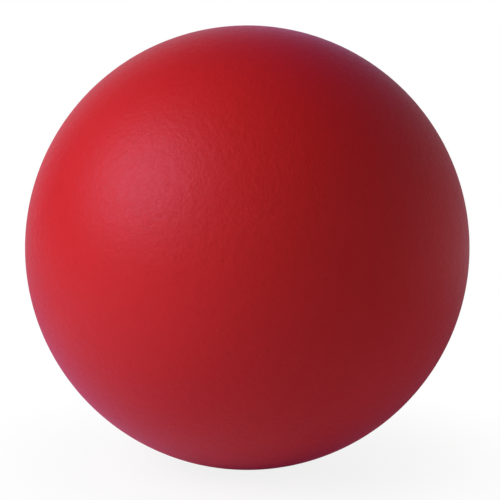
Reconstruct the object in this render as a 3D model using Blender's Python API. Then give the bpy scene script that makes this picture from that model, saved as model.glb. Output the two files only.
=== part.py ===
"""A therapy ball: an air-filled ball of soft PVC, with a valve seat in its wall and a plug that pulls out.

Sizes are in metres and +Z is up. The origin is the middle of the small flat patch that the ball rests on,
and the valve points along +Y.
"""

from math import atan2, cos, pi, radians, sin, sqrt

import bmesh
import bpy

# The ball, settled on a floor under its own weight.
BALL_DIAMETER = 0.230
BALL_WALL = 0.0010
REST_SINK = 0.0010
REST_BEND_RADIUS = 0.040

# The plug: a thin round head, just below the ball's surface, and a stem with sealing ribs and a bullet tip.
HEAD_DIAMETER = 0.0140
HEAD_THICKNESS = 0.0018
HEAD_EDGE_RADIUS = 0.0005
HEAD_SINK = 0.0002
STEM_DIAMETER = 0.0060
STEM_LENGTH = 0.0150
TIP_LENGTH = 0.0040
RIB_RADIUS = 0.0006
RIB_PITCH = 0.0030

# The valve seat: a rim round the plug's head, a flange inside the ball's wall and a tapered barrel that the
# plug's tip reaches out of.
SEAT_RIM_WIDTH = 0.0026
SEAT_FLANGE_WIDTH = 0.0050
SEAT_FLANGE_THICKNESS = 0.0015
SEAT_BORE_WALL = 0.0022
TIP_REACH = 0.0020
BORE_LEAD = 0.0006
NOTCH_RADIUS = 0.0020

# Clearances between pieces that touch, and how far a cutter runs past what it cuts.
FIT_GAP = 0.0003
HEAD_GAP = 0.0004
CUT_MARGIN = 0.0020

# How finely round shapes are divided.
BALL_SEGMENTS = 64
BALL_RINGS = 30
BEND_STEPS = 4
VALVE_SEGMENTS = 32
NOTCH_SEGMENTS = 16
ROUND_STEPS = 4
WELD_DISTANCE = 1e-7
SHARP_ANGLE = radians(35)

# The settled ball: its radius, its middle's height, its flat patch and the angle that the bend turns through.
BALL_RADIUS = BALL_DIAMETER / 2
CENTRE_HEIGHT = BALL_RADIUS - REST_SINK
PATCH_RADIUS = sqrt(REST_SINK * (2 * (BALL_RADIUS - REST_BEND_RADIUS) - REST_SINK))
BEND_ANGLE = atan2(PATCH_RADIUS, CENTRE_HEIGHT - REST_BEND_RADIUS)

# The valve's fits, outwards from the plug. Heights are along its axis, with 0 at the ball's surface.
HEAD_RADIUS = HEAD_DIAMETER / 2
STEM_RADIUS = STEM_DIAMETER / 2
BORE_RADIUS = STEM_RADIUS + RIB_RADIUS + FIT_GAP
RECESS_RADIUS = HEAD_RADIUS + HEAD_GAP
SEAT_RADIUS = RECESS_RADIUS + SEAT_RIM_WIDTH
HOLE_RADIUS = SEAT_RADIUS + FIT_GAP
FLANGE_RADIUS = HOLE_RADIUS + SEAT_FLANGE_WIDTH
HEAD_UNDERSIDE = -HEAD_SINK - HEAD_THICKNESS
RECESS_FLOOR = HEAD_UNDERSIDE - FIT_GAP
STEM_END = HEAD_UNDERSIDE - STEM_LENGTH
BARREL_END = STEM_END + TIP_REACH

# The inner wall's flats come inside its true sphere by a dip, and the flange lies below them.
RING_ANGLE = (pi - BEND_ANGLE) / BALL_RINGS
WALL_DIP = BALL_RADIUS * (1 - cos(pi / BALL_SEGMENTS) * cos(RING_ANGLE / 2))
FLANGE_TOP_SPHERE = BALL_RADIUS - BALL_WALL - WALL_DIP - FIT_GAP
FLANGE_UNDER_SPHERE = FLANGE_TOP_SPHERE - SEAT_FLANGE_THICKNESS


def linear(hex_colour):
    """An sRGB hex colour as the linear red, green, blue and alpha that a shader takes."""
    channels = [int(hex_colour[i : i + 2], 16) / 255 for i in (1, 3, 5)]
    return [c / 12.92 if c <= 0.04045 else ((c + 0.055) / 1.055) ** 2.4 for c in channels] + [1]


def plastic(name, hex_colour, roughness):
    material = bpy.data.materials.new(name)
    material.use_nodes = True
    shader = material.node_tree.nodes["Principled BSDF"]
    shader.inputs["Base Color"].default_value = linear(hex_colour)
    shader.inputs["Roughness"].default_value = roughness
    shader.inputs["Metallic"].default_value = 0
    return material


def arc(centre, radius, start, end, steps):
    """Points (radius, height) round a centre, with angles counted outwards and up from straight below it."""
    angles = [start + (end - start) * step / steps for step in range(steps + 1)]
    return [(centre[0] + radius * sin(angle), centre[1] - radius * cos(angle)) for angle in angles]


def height_on_sphere(sphere_radius, radius):
    """Height along the valve's axis, at a radius from it, of a sphere about the ball's middle."""
    return sqrt(sphere_radius**2 - radius**2) - BALL_RADIUS


def on_sphere(sphere_radius, start, end, steps):
    """Points (radius, height) along a sphere about the ball's middle, from one radius to another."""
    radii = [start + (end - start) * step / steps for step in range(steps + 1)]
    return [(radius, height_on_sphere(sphere_radius, radius)) for radius in radii]


def turned(name, profile, segments):
    """An object made by spinning (radius, height) points about its Z axis.

    A profile that starts on the axis also ends there. Any other profile is a closed ring.
    """
    shape = bmesh.new()
    points = [shape.verts.new((radius, 0, height)) for radius, height in profile]
    starts_on_axis = profile[0][0] == 0
    following = points[1:] if starts_on_axis else points[1:] + points[:1]
    edges = [shape.edges.new(pair) for pair in zip(points, following)]
    bmesh.ops.spin(
        shape,
        geom=points + edges,
        cent=(0, 0, 0),
        axis=(0, 0, 1),
        angle=2 * pi,
        steps=segments,
        use_merge=True,
    )
    bmesh.ops.remove_doubles(shape, verts=shape.verts, dist=WELD_DISTANCE)
    bmesh.ops.recalc_face_normals(shape, faces=shape.faces)
    mesh = bpy.data.meshes.new(name)
    shape.to_mesh(mesh)
    shape.free()
    mesh.shade_smooth()
    mesh.set_sharp_from_angle(angle=SHARP_ANGLE)
    turned_object = bpy.data.objects.new(name, mesh)
    bpy.context.scene.collection.objects.link(turned_object)
    return turned_object


def cut(piece, cutter):
    """Takes the cutter's shape out of the piece, and keeps the cutter as an unseen guide."""
    cutter.hide_render = True
    cutter.display_type = "WIRE"
    boolean = piece.modifiers.new(cutter.name, "BOOLEAN")
    boolean.operation = "DIFFERENCE"
    boolean.solver = "EXACT"
    boolean.object = cutter


def guide(name, parent, location, rotation):
    empty = bpy.data.objects.new(name, None)
    bpy.context.scene.collection.objects.link(empty)
    empty.parent = parent
    empty.location = location
    empty.rotation_euler = rotation
    return empty


def settled_profile(inset):
    """Half the outline of the settled ball about its middle, moved in by an inset, from the floor to the top.

    A flat patch, a bend tangent to the patch and to the ball, and then the ball itself.
    """
    bend_centre = (PATCH_RADIUS, REST_BEND_RADIUS - CENTRE_HEIGHT)
    bend = arc(bend_centre, REST_BEND_RADIUS - inset, 0, BEND_ANGLE, BEND_STEPS)
    ball = arc((0, 0), BALL_RADIUS - inset, BEND_ANGLE, pi, BALL_RINGS)
    return [(0, inset - CENTRE_HEIGHT)] + bend + ball[1:]


def ball_shell(ball_middle, valve_axis):
    """The hollow ball, moulded in one piece, with a round hole in its wall for the valve seat."""
    shell = turned("ball_shell", settled_profile(0), BALL_SEGMENTS)
    shell.parent = ball_middle
    shell.data.materials.append(plastic("soft_red_pvc", "#B41C24", 0.45))

    air_space = turned("air_space", settled_profile(BALL_WALL), BALL_SEGMENTS)
    air_space.parent = ball_middle
    cut(shell, air_space)

    hole_bottom = height_on_sphere(BALL_RADIUS - BALL_WALL, HOLE_RADIUS) - CUT_MARGIN
    hole_outline = [(0, hole_bottom), (HOLE_RADIUS, hole_bottom), (HOLE_RADIUS, CUT_MARGIN), (0, CUT_MARGIN)]
    valve_hole = turned("valve_hole", hole_outline, VALVE_SEGMENTS)
    valve_hole.parent = valve_axis
    cut(shell, valve_hole)


def valve_seat(valve_axis):
    """The insert in the hole: a rim flush with the ball, a recess, a flange inside and a bored barrel."""
    rim = on_sphere(BALL_RADIUS, RECESS_RADIUS, SEAT_RADIUS, ROUND_STEPS)
    flange_top = on_sphere(FLANGE_TOP_SPHERE, SEAT_RADIUS, FLANGE_RADIUS, ROUND_STEPS)
    flange_under = on_sphere(FLANGE_UNDER_SPHERE, FLANGE_RADIUS, SEAT_RADIUS, ROUND_STEPS)
    barrel_start = min(RECESS_FLOOR, flange_under[-1][1]) - SEAT_BORE_WALL
    barrel = [
        (SEAT_RADIUS, barrel_start),
        (BORE_RADIUS + SEAT_BORE_WALL, BARREL_END),
        (BORE_RADIUS, BARREL_END),
        (BORE_RADIUS, RECESS_FLOOR - BORE_LEAD),
        (BORE_RADIUS + BORE_LEAD, RECESS_FLOOR),
        (RECESS_RADIUS, RECESS_FLOOR),
    ]
    seat = turned("valve_seat", rim + flange_top + flange_under + barrel, VALVE_SEGMENTS)
    seat.parent = valve_axis
    seat.data.materials.append(plastic("valve_red_pvc", "#A2161E", 0.4))

    nail_notch = turned("nail_notch", arc((0, 0), NOTCH_RADIUS, 0, pi, 2 * ROUND_STEPS), NOTCH_SEGMENTS)
    nail_notch.parent = valve_axis
    nail_notch.location = (0, -RECESS_RADIUS, 0)
    cut(seat, nail_notch)


def valve_plug(valve_axis):
    """The stopper: a head that follows the ball's curve, and a stem whose ribs seal in the bore.

    The tip is half an ellipse, and the straight of the stem has as many half-round ribs as fit.
    """
    quarter_turn = arc((0, 0), 1, 0, pi / 2, ROUND_STEPS)
    tip = [(STEM_RADIUS * x, STEM_END + TIP_LENGTH * (1 + z)) for x, z in quarter_turn]
    rib_count = int((STEM_LENGTH - TIP_LENGTH) / RIB_PITCH)
    ribs = []
    for rib in reversed(range(rib_count)):
        rib_height = HEAD_UNDERSIDE - (rib + 0.5) * RIB_PITCH
        ribs += arc((STEM_RADIUS, rib_height), RIB_RADIUS, 0, pi, ROUND_STEPS)
    edge_foot = height_on_sphere(BALL_RADIUS - HEAD_SINK, HEAD_RADIUS) - HEAD_EDGE_RADIUS
    head_edge = arc((HEAD_RADIUS - HEAD_EDGE_RADIUS, edge_foot), HEAD_EDGE_RADIUS, pi / 2, pi, ROUND_STEPS)
    head_top = on_sphere(BALL_RADIUS - HEAD_SINK, HEAD_RADIUS - HEAD_EDGE_RADIUS, 0, ROUND_STEPS)
    under_head = [(STEM_RADIUS, HEAD_UNDERSIDE), (HEAD_RADIUS, HEAD_UNDERSIDE)]
    plug = turned("valve_plug", tip + ribs + under_head + head_edge[:-1] + head_top, VALVE_SEGMENTS)
    plug.parent = valve_axis
    plug.data.materials.append(plastic("white_polyethylene", "#E9E7E1", 0.4))


for leftover in list(bpy.data.objects):
    bpy.data.objects.remove(leftover, do_unlink=True)

middle = guide("ball_middle", None, (0, 0, CENTRE_HEIGHT), (0, 0, 0))
axis = guide("valve_axis", middle, (0, BALL_RADIUS, 0), (radians(-90), 0, 0))
ball_shell(middle, axis)
valve_seat(axis)
valve_plug(axis)
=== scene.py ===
import bpy
import numpy as np
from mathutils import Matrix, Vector


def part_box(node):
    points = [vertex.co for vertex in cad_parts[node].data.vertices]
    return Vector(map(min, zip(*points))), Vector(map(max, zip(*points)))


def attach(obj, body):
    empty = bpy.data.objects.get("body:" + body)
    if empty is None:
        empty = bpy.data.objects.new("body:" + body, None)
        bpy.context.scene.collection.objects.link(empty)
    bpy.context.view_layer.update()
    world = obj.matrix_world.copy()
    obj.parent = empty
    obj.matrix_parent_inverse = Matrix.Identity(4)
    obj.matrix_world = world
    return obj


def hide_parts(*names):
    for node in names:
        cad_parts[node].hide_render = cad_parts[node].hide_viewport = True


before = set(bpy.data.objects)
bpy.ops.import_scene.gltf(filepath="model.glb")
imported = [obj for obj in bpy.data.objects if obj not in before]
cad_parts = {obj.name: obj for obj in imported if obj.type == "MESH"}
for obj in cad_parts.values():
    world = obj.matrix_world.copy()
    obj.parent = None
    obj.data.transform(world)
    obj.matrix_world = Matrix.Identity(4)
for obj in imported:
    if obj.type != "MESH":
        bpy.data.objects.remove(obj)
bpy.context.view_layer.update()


# The ball: soft PVC, cast hollow in one piece in a turning mould of two halves, with a round hole in its wall
# for the valve seat. Its weight flattens a small patch where it stands. The skin has the mould's fine satin
# grain, a faint line where the mould's halves met, and a slight swell over the flange inside the valve.
BALL_WALL = 0.0010
REST_SINK = 0.0010
REST_BEND_RADIUS = 0.040
SEAT_FLANGE_WIDTH = 0.0050
HOLE_OUTER_ROUND = 0.00035
HOLE_INNER_ROUND = 0.00020
PARTING_LINE_HEIGHT = 0.00012
PARTING_LINE_WIDTH = 0.0009
PARTING_LINE_FADE_DEGREES = (12, 25)
FLANGE_SWELL_HEIGHT = 0.00018
FLANGE_SWELL_FADE = 0.0016
BALL_SEGMENTS = 320

seat_low, seat_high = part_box("valve_seat")
BALL_RADIUS = (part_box("ball_shell")[1].z + REST_SINK) / 2
MIDDLE_HEIGHT = BALL_RADIUS - REST_SINK
FLANGE_RADIUS = (seat_high.x - seat_low.x) / 2
HOLE_RADIUS = FLANGE_RADIUS - SEAT_FLANGE_WIDTH


def closed_mesh(name, grid, has_poles):
    """An object whose faces join neighbouring points of a grid, with each row closed into a ring.

    With poles, the first and last rows each shrink to one point; without, the last row joins the first.
    """
    rows, columns = grid.shape[:2]
    if has_poles:
        points = np.concatenate([grid[0, :1], grid[1:-1].reshape(-1, 3), grid[-1, :1]])
        inner = 1 + np.arange((rows - 2) * columns).reshape(rows - 2, columns)
        here = np.concatenate([np.zeros((1, columns), int), inner, np.full((1, columns), len(points) - 1)])
    else:
        points = grid.reshape(-1, 3)
        here = np.arange(rows * columns).reshape(rows, columns)
        here = np.concatenate([here, here[:1]])
    beside = np.roll(here, -1, axis=1)
    quads = np.stack([here[:-1], beside[:-1], beside[1:], here[1:]], axis=-1)
    if has_poles:
        faces = quads[0][:, 1:].tolist() + quads[1:-1].reshape(-1, 4).tolist() + quads[-1][:, :3].tolist()
    else:
        faces = quads.reshape(-1, 4).tolist()
    mesh = bpy.data.meshes.new(name)
    mesh.from_pydata(points.tolist(), [], faces)
    mesh.shade_smooth()
    piece = bpy.data.objects.new(name, mesh)
    bpy.context.scene.collection.objects.link(piece)
    return piece


def smooth(value, start, end):
    """Rises from 0 at the start to 1 at the end, level at both: thrice the square less twice the cube."""
    share = np.clip((value - start) / (end - start), 0, 1)
    return share**2 * (3 - 2 * share)


def arc(centre, radius, start, end, steps):
    """Points (radius, height) round a centre, with angles in degrees from the valve's axis outwards.

    Each is the centre plus the radius times the angle's sine and cosine.
    """
    angle = np.radians(np.linspace(start, end, steps))
    return centre + radius * np.stack([np.sin(angle), np.cos(angle)], axis=1)


def settled_distance(down_angle, inset):
    """How far a wall of the settled ball is from its middle, by the angle from straight down.

    Over the patch it is where the ray meets the floor's plane, over the bend it is where the ray leaves the
    bend's circle, and past the bend it is the ball's radius, each moved in by the inset.
    """
    patch_radius = np.sqrt(REST_SINK * (2 * (BALL_RADIUS - REST_BEND_RADIUS) - REST_SINK))
    bend_height = MIDDLE_HEIGHT - REST_BEND_RADIUS
    patch_angle = np.arctan2(patch_radius, MIDDLE_HEIGHT - inset)
    bend_angle = np.arctan2(patch_radius, bend_height)
    patch = (MIDDLE_HEIGHT - inset) / np.cos(np.minimum(down_angle, patch_angle))
    along = patch_radius * np.sin(down_angle) + bend_height * np.cos(down_angle)
    chord = along**2 - patch_radius**2 - bend_height**2 + (REST_BEND_RADIUS - inset) ** 2
    bend = along + np.sqrt(np.maximum(chord, 0))
    return np.select([down_angle < patch_angle, down_angle < bend_angle], [patch, bend], BALL_RADIUS - inset)


def ball_grid():
    """The skin's points by profile and turn: from the front pole to the hole, round its edge, and back in.

    Each profile point is an angle in degrees from the valve's axis and an inset from the ball's outside.
    Rows lie closer together at the parting line and at the valve, where the shape is finer. The line and the
    swell over the flange move the outside outwards, and each fades out as smooth() does.
    """
    front_rows, line_rows, back_rows, valve_rows, inside_rows = 84, 16, 66, 28, 44
    outer_round_rows, inner_round_rows = 9, 6
    valve_zone = 13
    line_half = np.degrees(PARTING_LINE_WIDTH / BALL_RADIUS)
    outer_centre_radius = HOLE_RADIUS + HOLE_OUTER_ROUND
    outer_tilt = np.degrees(np.arcsin(outer_centre_radius / (BALL_RADIUS - HOLE_OUTER_ROUND)))
    inner_centre_radius = HOLE_RADIUS + HOLE_INNER_ROUND
    inner_reach = BALL_RADIUS - BALL_WALL + HOLE_INNER_ROUND
    inner_tilt = np.degrees(np.arcsin(inner_centre_radius / inner_reach))
    outside = np.concatenate(
        [
            np.linspace(180, 90 + line_half, front_rows, endpoint=False),
            np.linspace(90 + line_half, 90 - line_half, line_rows, endpoint=False),
            np.linspace(90 - line_half, valve_zone, back_rows, endpoint=False),
            np.linspace(valve_zone, outer_tilt, valve_rows, endpoint=False),
        ]
    )
    inside = np.linspace(inner_tilt, 180, inside_rows)[1:]
    outer_centre = (outer_centre_radius, (BALL_RADIUS - HOLE_OUTER_ROUND) * np.cos(np.radians(outer_tilt)))
    inner_centre = (inner_centre_radius, inner_reach * np.cos(np.radians(inner_tilt)))
    edge = np.concatenate(
        [
            arc(outer_centre, HOLE_OUTER_ROUND, outer_tilt, -90, outer_round_rows),
            arc(inner_centre, HOLE_INNER_ROUND, -90, inner_tilt - 180, inner_round_rows),
        ]
    )
    edge_angle = np.degrees(np.arctan2(edge[:, 0], edge[:, 1]))
    edge_inset = BALL_RADIUS - np.hypot(edge[:, 0], edge[:, 1])

    angle = np.radians(np.concatenate([outside, edge_angle, inside]))[:, None]
    inset = np.concatenate([np.zeros_like(outside), edge_inset, np.full_like(inside, BALL_WALL)])[:, None]
    is_outside = (np.arange(len(angle)) < len(outside))[:, None]
    turn = np.linspace(0, 2 * np.pi, BALL_SEGMENTS, endpoint=False)
    axes = np.broadcast_arrays(np.sin(angle) * np.sin(turn), np.cos(angle), np.sin(angle) * np.cos(turn))
    outwards = np.stack(axes, axis=-1)
    down_angle = np.arccos(np.clip(-outwards[..., 2], -1, 1))

    off_line = np.abs(angle - np.pi / 2) * BALL_RADIUS
    line = PARTING_LINE_HEIGHT * (1 - smooth(off_line, 0, PARTING_LINE_WIDTH))
    line = line * smooth(np.degrees(down_angle), *PARTING_LINE_FADE_DEGREES)
    off_axis = BALL_RADIUS * np.sin(angle)
    on_valve_side = angle < np.pi / 2
    swell_start, swell_end = FLANGE_RADIUS - FLANGE_SWELL_FADE, FLANGE_RADIUS + FLANGE_SWELL_FADE
    swell = FLANGE_SWELL_HEIGHT * (1 - smooth(off_axis, swell_start, swell_end))
    swell = swell * smooth(off_axis, HOLE_RADIUS, HOLE_RADIUS + 2 * FLANGE_SWELL_FADE) * on_valve_side
    distance = settled_distance(down_angle, inset - is_outside * (line + swell))
    return (0, 0, MIDDLE_HEIGHT) + distance[..., None] * outwards


def linear(hex_colour):
    """An sRGB hex colour as the linear red, green, blue and alpha that a shader takes.

    By the sRGB standard, a dark channel is divided by a constant, and any other follows a power of 2.4.
    """
    channels = np.array([int(hex_colour[i : i + 2], 16) / 255 for i in (1, 3, 5)])
    mixed = np.where(channels <= 0.04045, channels / 12.92, ((channels + 0.055) / 1.055) ** 2.4)
    return (*mixed.tolist(), 1.0)


def node(tree, kind, sockets=None, **settings):
    """Adds a shader node. Settings are its options; sockets gives each input a value or an output to link."""
    made = tree.nodes.new("ShaderNode" + kind)
    for name, value in settings.items():
        setattr(made, name, value)
    for name, value in (sockets or {}).items():
        if isinstance(value, bpy.types.NodeSocket):
            tree.links.new(value, made.inputs[name])
        else:
            made.inputs[name].default_value = value
    return made


def empty_material(name):
    """A new material with no nodes yet, and its node tree."""
    material = bpy.data.materials.new(name)
    material.use_nodes = True
    material.node_tree.nodes.clear()
    return material, material.node_tree


def rotocast_soft_pvc():
    """Rotocast soft PVC: satin, because the mould's blasted wall prints its grain on the skin.

    The eye sees one deep red, a broad soft highlight broken up by grain and mottling, a few pinholes that air
    bubbles left, drawn darker in their hollows as painted shade, and a cool bloom at the rim, where the
    plasticiser makes the skin slightly hazy. Grain and mottling are as wide as on a real skin, and a little
    deeper, so that they show under a wide lamp.
    """
    grain_width, grain_height = 0.0016, 0.00016
    patch_width, patch_height = 0.0045, 0.00021
    cloud_width, cloud_detail = 0.025, 3.0
    pinhole_spacing, pinhole_radius, pinhole_depth = 0.0052, 0.0006, 0.00008
    # The pinholes' red is darker as painted shade in their hollows.
    darker_red, lighter_red, pinhole_shade_red = "#BF1E19", "#C5201A", "#AC1812"
    gloss_tint, bloom_tint = "#FFDAFF", "#F02FFF"
    least_roughness, most_roughness = 0.36, 0.60
    material, tree = empty_material("rotocast_soft_pvc")
    place = node(tree, "TexCoord").outputs["Object"]
    grain = node(tree, "TexNoise", {"Vector": place, "Scale": 1 / grain_width}).outputs["Fac"]
    patches = node(tree, "TexNoise", {"Vector": place, "Scale": 1 / patch_width}).outputs["Fac"]
    clouds = node(
        tree, "TexNoise", {"Vector": place, "Scale": 1 / cloud_width, "Detail": cloud_detail}
    ).outputs["Fac"]
    cells = node(tree, "TexVoronoi", {"Vector": place, "Scale": 1 / pinhole_spacing}).outputs["Distance"]
    skin = node(
        tree,
        "MapRange",
        {"Value": cells, "From Max": pinhole_radius / pinhole_spacing},
        interpolation_type="SMOOTHSTEP",
    ).outputs["Result"]
    pitted = node(tree, "Math", {0: skin, 1: pinhole_depth}, operation="MULTIPLY").outputs["Value"]
    mottled = node(
        tree, "Math", {0: patches, 1: patch_height, 2: pitted}, operation="MULTIPLY_ADD"
    ).outputs["Value"]
    relief = node(
        tree, "Math", {0: grain, 1: grain_height, 2: mottled}, operation="MULTIPLY_ADD"
    ).outputs["Value"]
    # The relief is in metres already, so the bump takes it as it is.
    bump = node(tree, "Bump", {"Height": relief, "Strength": 1.0, "Distance": 1.0}).outputs["Normal"]
    clouded = node(
        tree, "Mix", {0: clouds, 6: linear(darker_red), 7: linear(lighter_red)}, data_type="RGBA"
    ).outputs[2]
    # The pinholes take the darker red: painted shade in their hollows, over the bump that dents them.
    colour = node(tree, "Mix", {0: skin, 6: linear(pinhole_shade_red), 7: clouded}, data_type="RGBA").outputs[2]
    roughness = node(
        tree, "MapRange", {"Value": grain, "To Min": least_roughness, "To Max": most_roughness}
    ).outputs["Result"]
    shader = node(
        tree,
        "BsdfPrincipled",
        {
            "Base Color": colour,
            "Roughness": roughness,
            "Normal": bump,
            "IOR": 1.53,
            "Specular IOR Level": 0.21,
            "Specular Tint": linear(gloss_tint),
            "Sheen Weight": 0.11,
            "Sheen Roughness": 0.42,
            "Sheen Tint": linear(bloom_tint),
        },
    )
    node(tree, "OutputMaterial", {"Surface": shader.outputs["BSDF"]})
    return material


ball_skin = closed_mesh("ball_skin", ball_grid(), has_poles=True)
ball_skin.data.materials.append(rotocast_soft_pvc())
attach(ball_skin, "ball")
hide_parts("ball_shell")


# The valve seat: a thicker insert of soft PVC, injection moulded and welded into the hole in the ball's wall.
# Its rim lies flush with the ball round a recess for the plug's head, with a scoop where a fingernail lifts
# the plug. A flange backs the wall inside, and a tapered barrel holds the bore that grips the plug.
SEAT_RECESS_RADIUS = 0.0074
SEAT_BORE_RADIUS = 0.0039
SEAT_BORE_WALL = 0.0022
SEAT_BORE_LEAD = 0.0006
SEAT_FLANGE_THICKNESS = 0.0015
SEAT_RECESS_DEPTH = 0.0023
SEAT_FINE_ROUND = 0.0003
SEAT_SOFT_ROUND = 0.0006
SEAT_NECK_ROUND = 0.0001
SEAT_JOINT = 0.00004
SEAT_SEGMENTS = 168
NAIL_SCOOP_RADIUS = 0.0020
FINE_STEP = 0.00035


def on_ball(depth, radius):
    """How far along the valve's axis a sphere is, by its depth under the skin and the radius off the axis.

    It is the root of the sphere's own radius squared less the radius off the axis squared.
    """
    return np.sqrt((BALL_RADIUS - depth) ** 2 - radius**2)


def rounded(corners, steps=7):
    """A closed outline through (radius, height) corners, each cut back by its third value and rounded.

    The rounding is a curve from the cut before the corner to the cut after it, pulled towards the corner:
    squared shares of the two cuts and twice the product of the shares for the corner.
    """
    corners = np.array(corners)
    corner, cut = corners[:, None, :2], corners[:, None, 2:]
    towards = [np.roll(corner, shift, axis=0) - corner for shift in (1, -1)]
    before, after = (corner + cut * t / np.linalg.norm(t, axis=-1, keepdims=True) for t in towards)
    share = np.linspace(0, 1, steps)[:, None]
    curve = (1 - share) ** 2 * before + 2 * share * (1 - share) * corner + share**2 * after
    return curve.reshape(-1, 2)


def divided(outline, closed):
    """The same outline with its long stretches divided evenly, and without its repeated points.

    A stretch gets as many parts as fine steps fit into its length, rounded up. A slack far under one step
    keeps a stretch of whole steps from getting one more.
    """
    slack = 1e-6
    following = np.roll(outline, -1, axis=0)
    length = np.linalg.norm(following - outline, axis=1)
    parts = np.ceil(length / FINE_STEP - slack).astype(int)
    if not closed:
        parts[-1] = 1
    start = np.repeat(np.arange(len(outline)), parts)
    share = (np.arange(len(start)) - np.repeat(np.cumsum(parts) - parts, parts)) / np.repeat(parts, parts)
    return outline[start] + share[:, None] * (following - outline)[start]


def turned(outline, segments):
    """A (radius, distance) outline carried round the valve's axis, with the turn counted from straight up."""
    turn = np.linspace(0, 2 * np.pi, segments, endpoint=False)
    radius, along = outline[:, :1], outline[:, 1:]
    rings = np.broadcast_arrays(radius * np.sin(turn), along, MIDDLE_HEIGHT + radius * np.cos(turn))
    return np.stack(rings, axis=-1)


def scooped(grid):
    """The grid with a round scoop at the top of the recess's edge.

    Each point inside the scoop's ball moves straight away from a point in the open air, to where that line
    leaves the ball: as far along it as the quadratic for the crossing says.
    """
    middle = np.array([0, BALL_RADIUS, MIDDLE_HEIGHT + SEAT_RECESS_RADIUS])
    lean = 0.6 * NAIL_SCOOP_RADIUS
    open_air = middle + np.array([0, lean, -lean])
    away = grid - open_air
    away = away / np.linalg.norm(away, axis=-1, keepdims=True)
    back = open_air - middle
    along = away @ back
    reach = -along + np.sqrt(along**2 - back @ back + NAIL_SCOOP_RADIUS**2)
    inside = np.linalg.norm(grid - middle, axis=-1) < NAIL_SCOOP_RADIUS
    return np.where(inside[..., None], open_air + reach[..., None] * away, grid)


def seat_outline():
    """The seat's section: rim, recess, bore, barrel, flange and neck, with each corner's rounding."""
    seat_radius = HOLE_RADIUS - SEAT_JOINT
    flange_top, flange_under = BALL_WALL + SEAT_JOINT, BALL_WALL + SEAT_JOINT + SEAT_FLANGE_THICKNESS
    floor_at = BALL_RADIUS - SEAT_RECESS_DEPTH
    barrel_at = on_ball(flange_under, seat_radius) - SEAT_BORE_WALL
    barrel_end = seat_low.y
    return rounded(
        [
            (seat_radius, on_ball(0, seat_radius), SEAT_FINE_ROUND),
            (SEAT_RECESS_RADIUS, on_ball(0, SEAT_RECESS_RADIUS), SEAT_FINE_ROUND),
            (SEAT_RECESS_RADIUS, floor_at, SEAT_FINE_ROUND),
            (SEAT_BORE_RADIUS + SEAT_BORE_LEAD, floor_at, SEAT_FINE_ROUND),
            (SEAT_BORE_RADIUS, floor_at - SEAT_BORE_LEAD, SEAT_FINE_ROUND),
            (SEAT_BORE_RADIUS, barrel_end, SEAT_FINE_ROUND),
            (SEAT_BORE_RADIUS + SEAT_BORE_WALL, barrel_end, SEAT_SOFT_ROUND),
            (seat_radius, barrel_at, SEAT_SOFT_ROUND),
            (seat_radius, on_ball(flange_under, seat_radius), SEAT_SOFT_ROUND),
            (FLANGE_RADIUS, on_ball(flange_under, FLANGE_RADIUS), SEAT_SOFT_ROUND),
            (FLANGE_RADIUS, on_ball(flange_top, FLANGE_RADIUS), SEAT_FINE_ROUND),
            (seat_radius, on_ball(flange_top, seat_radius), SEAT_NECK_ROUND),
        ]
    )


def moulded_soft_pvc():
    """Injection-moulded soft PVC: deeper in colour and smoother than the ball, with a fine matt grain.

    The mould's spark grain is about 0.1 mm wide. It is drawn coarser, so that it shows.
    """
    grain_width, grain_height = 0.0007, 0.00003
    cloud_width, cloud_detail = 0.006, 3.0
    darker_red, lighter_red, gloss_tint = "#AE1811", "#BA1B14", "#FFDAFF"
    least_roughness, most_roughness = 0.38, 0.50
    material, tree = empty_material("moulded_soft_pvc")
    place = node(tree, "TexCoord").outputs["Object"]
    grain = node(tree, "TexNoise", {"Vector": place, "Scale": 1 / grain_width}).outputs["Fac"]
    clouds = node(
        tree, "TexNoise", {"Vector": place, "Scale": 1 / cloud_width, "Detail": cloud_detail}
    ).outputs["Fac"]
    bump = node(tree, "Bump", {"Height": grain, "Strength": 1.0, "Distance": grain_height}).outputs["Normal"]
    colour = node(
        tree, "Mix", {0: clouds, 6: linear(darker_red), 7: linear(lighter_red)}, data_type="RGBA"
    ).outputs[2]
    roughness = node(
        tree, "MapRange", {"Value": clouds, "To Min": least_roughness, "To Max": most_roughness}
    ).outputs["Result"]
    shader = node(
        tree,
        "BsdfPrincipled",
        {
            "Base Color": colour,
            "Roughness": roughness,
            "Normal": bump,
            "IOR": 1.53,
            "Specular IOR Level": 0.21,
            "Specular Tint": linear(gloss_tint),
        },
    )
    node(tree, "OutputMaterial", {"Surface": shader.outputs["BSDF"]})
    return material


seat_grid = scooped(turned(divided(seat_outline(), closed=True), SEAT_SEGMENTS))
seat_insert = closed_mesh("seat_insert", seat_grid, has_poles=False)
seat_insert.data.materials.append(moulded_soft_pvc())
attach(seat_insert, "ball")
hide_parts("valve_seat")


# The plug: a stopper of white polyethylene, injection moulded in one piece. Its thin head lies in the seat's
# recess, and the ribs on its stem seal in the bore. The mould's gate left a nub in a dimple on top.
plug_low, plug_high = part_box("valve_plug")
HEAD_RADIUS = (plug_high.x - plug_low.x) / 2
HEAD_SINK = BALL_RADIUS - plug_high.y
HEAD_THICKNESS = 0.0018
HEAD_EDGE_ROUND = 0.0006
HEAD_LOWER_ROUND = 0.0002
HEAD_FILLET = 0.0004
STEM_RADIUS = 0.0030
TIP_LENGTH = 0.0040
RIB_RADIUS = 0.0006
RIB_PITCH = 0.0030
RIB_COUNT = 3
GATE_DIMPLE_RADIUS = 0.0014
GATE_DIMPLE_DEPTH = 0.00025
GATE_NUB_RADIUS = 0.0005
GATE_NUB_HEIGHT = 0.0002
PLUG_SEGMENTS = 144


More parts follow.
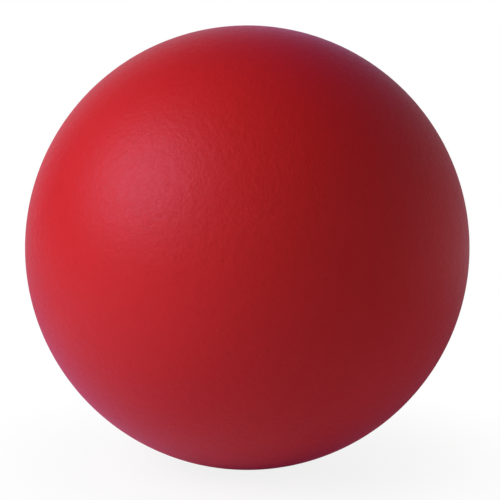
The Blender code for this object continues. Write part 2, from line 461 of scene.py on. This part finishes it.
def plug_outline():
    """The plug's half section from its tip up: a quarter ellipse, the ribbed stem, and the dimpled head.

    The ribs are half circles on the stem, the first half a pitch under the head. The top follows the ball's
    curve, less a round dimple that fades out as smooth() does, plus a nub of the same form in its middle.
    """
    tip_rows, rib_rows, round_rows, edge_rows, crown_rows = 16, 11, 5, 8, 30
    underside = BALL_RADIUS - HEAD_SINK - HEAD_THICKNESS
    crown_tilt = np.degrees(np.arcsin(HEAD_RADIUS / BALL_RADIUS))
    tip_turn = np.radians(np.linspace(0, 90, tip_rows))
    tip_height = plug_low.y + TIP_LENGTH * (1 - np.cos(tip_turn))
    tip = np.stack([STEM_RADIUS * np.sin(tip_turn), tip_height], axis=1)
    rib_heights = underside - RIB_PITCH * (np.arange(RIB_COUNT)[::-1] + 0.5)
    ribs = [arc((STEM_RADIUS, height), RIB_RADIUS, 180, 0, rib_rows) for height in rib_heights]
    under_fillet = arc((STEM_RADIUS + HEAD_FILLET, underside - HEAD_FILLET), HEAD_FILLET, -90, 0, round_rows)
    lower_centre = (HEAD_RADIUS - HEAD_LOWER_ROUND, underside + HEAD_LOWER_ROUND)
    lower_edge = arc(lower_centre, HEAD_LOWER_ROUND, 180, 90, round_rows)
    upper_centre = (HEAD_RADIUS - HEAD_EDGE_ROUND, on_ball(HEAD_SINK, HEAD_RADIUS) - HEAD_EDGE_ROUND)
    upper_edge = arc(upper_centre, HEAD_EDGE_ROUND, 90, crown_tilt, edge_rows)
    radius = np.linspace(upper_edge[-1, 0], 0, crown_rows)[1:]
    top = on_ball(HEAD_SINK, radius)
    top = top - GATE_DIMPLE_DEPTH * (1 - smooth(radius, GATE_NUB_RADIUS, GATE_DIMPLE_RADIUS))
    top = top + GATE_NUB_HEIGHT * (1 - smooth(radius, GATE_NUB_RADIUS / 2, GATE_NUB_RADIUS))
    crown = np.stack([radius, top], axis=1)
    return np.concatenate([tip, *ribs, under_fillet, lower_edge, upper_edge, crown])


def moulded_polyethylene():
    """White low-density polyethylene: waxy and satin, a little see-through at thin edges, faintly clouded.

    The grain that the mould leaves is under 0.1 mm wide. It is drawn coarser, so that it shows.
    """
    grain_width, grain_height = 0.0006, 0.000015
    cloud_width, cloud_detail = 0.004, 3.0
    darker_white, lighter_white = "#DEDBD2", "#ECEAE4"
    least_roughness, most_roughness = 0.36, 0.48
    material, tree = empty_material("moulded_polyethylene")
    place = node(tree, "TexCoord").outputs["Object"]
    grain = node(tree, "TexNoise", {"Vector": place, "Scale": 1 / grain_width}).outputs["Fac"]
    clouds = node(
        tree, "TexNoise", {"Vector": place, "Scale": 1 / cloud_width, "Detail": cloud_detail}
    ).outputs["Fac"]
    bump = node(tree, "Bump", {"Height": grain, "Strength": 1.0, "Distance": grain_height}).outputs["Normal"]
    colour = node(
        tree, "Mix", {0: clouds, 6: linear(darker_white), 7: linear(lighter_white)}, data_type="RGBA"
    ).outputs[2]
    roughness = node(
        tree, "MapRange", {"Value": clouds, "To Min": least_roughness, "To Max": most_roughness}
    ).outputs["Result"]
    shader = node(
        tree,
        "BsdfPrincipled",
        {
            "Base Color": colour,
            "Roughness": roughness,
            "Normal": bump,
            "IOR": 1.51,
            "Subsurface Weight": 0.2,
            "Subsurface Radius": (1.0, 0.9, 0.8),
            "Subsurface Scale": 0.0012,
        },
    )
    node(tree, "OutputMaterial", {"Surface": shader.outputs["BSDF"]})
    return material


plug_grid = turned(divided(plug_outline(), closed=False), PLUG_SEGMENTS)
plug_stopper = closed_mesh("plug_stopper", plug_grid, has_poles=True)
plug_stopper.data.materials.append(moulded_polyethylene())
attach(plug_stopper, "plug")
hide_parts("valve_plug")


# The floor: a wide round board covered with matte white paper, for the ball to stand on. It fades into the
# white room all round, and keeps only a faint shadow close to the ball.
FLOOR_RADIUS = 6.0
FLOOR_THICKNESS = 0.02
FLOOR_DROP = 0.00005
FLOOR_SEGMENTS = 96


def floor_grid():
    """A round slab by profile and turn: out over its top, down its edge, and back in underneath."""
    radius = FLOOR_RADIUS * np.array([[0], [1], [1], [0]])
    level = -FLOOR_DROP - FLOOR_THICKNESS * np.array([[0], [0], [1], [1]])
    turn = np.linspace(0, 2 * np.pi, FLOOR_SEGMENTS, endpoint=False)
    return np.stack(np.broadcast_arrays(radius * np.sin(turn), radius * np.cos(turn), level), axis=-1)


def white_where_seen(tree, mirrored_share):
    """How white a ray finds the background: wholly if seen straight or through glass, partly if mirrored."""
    path = node(tree, "LightPath").outputs
    mirrored = node(
        tree, "Math", {0: path["Is Glossy Ray"], 1: mirrored_share}, operation="MULTIPLY"
    ).outputs["Value"]
    either = node(tree, "Math", {0: path["Is Camera Ray"], 1: mirrored}, operation="MAXIMUM").outputs["Value"]
    return node(
        tree, "Math", {0: either, 1: path["Is Transmission Ray"]}, operation="MAXIMUM"
    ).outputs["Value"]


def matte_white_paper():
    """Uncoated white paper, with no gloss: seen as pure white away from the ball, and shaded close to it.

    In gloss it turns white only farther out, so that the ball's underside mirrors plain lit paper.
    """
    paper_white, pure_white = "#EFEFEF", "#FFFFFF"
    shadow_radius, white_radius = 0.02, 0.20
    mirror_dark_radius, mirror_white_radius = 0.3, 1.0
    white_share_under_ball, white_share_mirrored = 0.85, 0.58
    material, tree = empty_material("matte_white_paper")
    place = node(tree, "TexCoord").outputs["Object"]
    away = node(tree, "VectorMath", {0: place}, operation="LENGTH").outputs["Value"]
    far = node(
        tree,
        "MapRange",
        {"Value": away, "From Min": shadow_radius, "From Max": white_radius},
        interpolation_type="SMOOTHSTEP",
    ).outputs["Result"]
    whiteness = node(
        tree, "MapRange", {"Value": far, "To Min": white_share_under_ball, "To Max": 1.0}
    ).outputs["Result"]
    mirrored = node(
        tree,
        "MapRange",
        {
            "Value": away,
            "From Min": mirror_dark_radius,
            "From Max": mirror_white_radius,
            "To Max": white_share_mirrored,
        },
        interpolation_type="SMOOTHSTEP",
    ).outputs["Result"]
    share = node(
        tree, "Math", {0: white_where_seen(tree, mirrored), 1: whiteness}, operation="MULTIPLY"
    ).outputs["Value"]
    paper = node(tree, "BsdfDiffuse", {"Color": linear(paper_white)}).outputs["BSDF"]
    glow = node(tree, "Emission", {"Color": linear(pure_white), "Strength": 1.0}).outputs["Emission"]
    surface = node(tree, "MixShader", {0: share, 1: paper, 2: glow}).outputs["Shader"]
    node(tree, "OutputMaterial", {"Surface": surface})
    return material


floor = closed_mesh("floor", floor_grid(), has_poles=True)
floor.data.shade_flat()
floor.data.materials.append(matte_white_paper())


# The light: one soft key from the upper left, and weaker lamps from the right and from behind, which don't
# show in gloss. The white room is dim, dark overhead and on the left, and its backdrop shows in gloss. The
# camera sees the room as white from every side.
KEY_TURN, KEY_RISE = np.radians((-57, 31))
KEY_DISTANCE = 0.63
KEY_DIAMETER = 0.49
KEY_POWER = 4.06
KEY_COLOUR = "#EBEBFF"
SIDE_TURN, SIDE_RISE = np.radians((95, 6))
SIDE_POWER = 1.87
BACK_TURN, BACK_RISE = np.radians((180, 12))
BACK_POWER = 3.2
FILL_DISTANCE = 1.2
FILL_DIAMETER = 0.50
FILL_COLOUR = "#FFFFFF"
ROOM_COLOUR = "#FFFFFF"
ROOM_LIGHT = 0.37
CEILING_EDGE = (0.25, 0.85)
DARK_SIDE_TURN, DARK_SIDE_RISE = np.radians((-106, 12))
DARK_SIDE_EDGE = (0.40, 0.90)
BACKDROP_TURN, BACKDROP_RISE = np.radians((-169, 5))
BACKDROP_EDGE = (0.78, 0.97)
BACKDROP_MIRRORED = 0.86


def direction(turn, rise):
    """The direction from the ball's middle at a turn from the photograph's side and a rise above level."""
    return Vector((np.sin(turn) * np.cos(rise), -np.cos(turn) * np.cos(rise), np.sin(rise)))


def softbox(name, towards, distance, diameter, power, colour):
    """A round area lamp that faces the ball's middle, unseen by the camera."""
    light = bpy.data.lights.new(name, "AREA")
    light.shape = "DISK"
    light.size = diameter
    light.energy = power
    light.color = linear(colour)[:3]
    lamp = bpy.data.objects.new(name, light)
    lamp.location = Vector((0, 0, MIDDLE_HEIGHT)) + distance * towards
    lamp.rotation_euler = towards.to_track_quat("Z", "Y").to_euler()
    lamp.visible_camera = False
    bpy.context.scene.collection.objects.link(lamp)
    return lamp


softbox("key_softbox", direction(KEY_TURN, KEY_RISE), KEY_DISTANCE, KEY_DIAMETER, KEY_POWER, KEY_COLOUR)
for name, turn, rise, power in (
    ("side_softbox", SIDE_TURN, SIDE_RISE, SIDE_POWER),
    ("back_softbox", BACK_TURN, BACK_RISE, BACK_POWER),
):
    fill = softbox(name, direction(turn, rise), FILL_DISTANCE, FILL_DIAMETER, power, FILL_COLOUR)
    fill.visible_glossy = False

room = bpy.data.worlds.new("white_room")
room.use_nodes = True
tree = room.node_tree
tree.nodes.clear()
towards = node(tree, "TexCoord").outputs["Generated"]
height = node(tree, "SeparateXYZ", {0: towards}).outputs["Z"]
lit = node(
    tree,
    "MapRange",
    {
        "Value": height,
        "From Min": CEILING_EDGE[0],
        "From Max": CEILING_EDGE[1],
        "To Min": ROOM_LIGHT,
        "To Max": 0.0,
    },
).outputs["Result"]
near_dark_side = node(
    tree, "VectorMath", {0: towards, 1: direction(DARK_SIDE_TURN, DARK_SIDE_RISE)}, operation="DOT_PRODUCT"
).outputs["Value"]
side_share = node(
    tree,
    "MapRange",
    {
        "Value": near_dark_side,
        "From Min": DARK_SIDE_EDGE[0],
        "From Max": DARK_SIDE_EDGE[1],
        "To Min": 1.0,
        "To Max": 0.0,
    },
    interpolation_type="SMOOTHSTEP",
).outputs["Result"]
dimmed = node(tree, "Math", {0: lit, 1: side_share}, operation="MULTIPLY").outputs["Value"]
near_backdrop = node(
    tree, "VectorMath", {0: towards, 1: direction(BACKDROP_TURN, BACKDROP_RISE)}, operation="DOT_PRODUCT"
).outputs["Value"]
backdrop = node(
    tree,
    "MapRange",
    {
        "Value": near_backdrop,
        "From Min": BACKDROP_EDGE[0],
        "From Max": BACKDROP_EDGE[1],
        "To Max": BACKDROP_MIRRORED,
    },
    interpolation_type="SMOOTHSTEP",
).outputs["Result"]
strength = node(
    tree, "MapRange", {"Value": white_where_seen(tree, backdrop), "To Min": dimmed, "To Max": 1.0}
).outputs["Result"]
room_light = node(tree, "Background", {"Color": linear(ROOM_COLOUR), "Strength": strength})
node(tree, "OutputWorld", {"Surface": room_light.outputs["Background"]})
bpy.context.scene.world = room


# The camera: six ball radii away and a little above the ball's middle. Its aim lies a little right of the
# middle and below it, as the photograph is framed.
PHOTO_WIDTH = 500
BALL_PIXEL_RADIUS = 222.35
BALL_PIXEL_LEFT = 2.65
BALL_PIXEL_UP = 2.27
CAMERA_DISTANCE = 6 * BALL_RADIUS
CAMERA_RISE = np.radians(7.0)

limb_slope = BALL_RADIUS / np.sqrt(CAMERA_DISTANCE**2 - BALL_RADIUS**2)
focal_pixels = BALL_PIXEL_RADIUS / limb_slope
lens = bpy.data.cameras.new("camera")
lens.lens = lens.sensor_width * focal_pixels / PHOTO_WIDTH
camera = bpy.data.objects.new("camera", lens)
back = Vector((0, -np.cos(CAMERA_RISE), np.sin(CAMERA_RISE)))
right = Vector((1, 0, 0))
up = right.cross(-back)
aim_shift = right * BALL_PIXEL_LEFT - up * BALL_PIXEL_UP
aim = Vector((0, 0, MIDDLE_HEIGHT)) + aim_shift * CAMERA_DISTANCE / focal_pixels
camera.location = aim + CAMERA_DISTANCE * back
camera.rotation_euler = back.to_track_quat("Z", "Y").to_euler()
bpy.context.scene.collection.objects.link(camera)
bpy.context.scene.camera = camera
bpy.context.scene.view_settings.view_transform = "Standard"
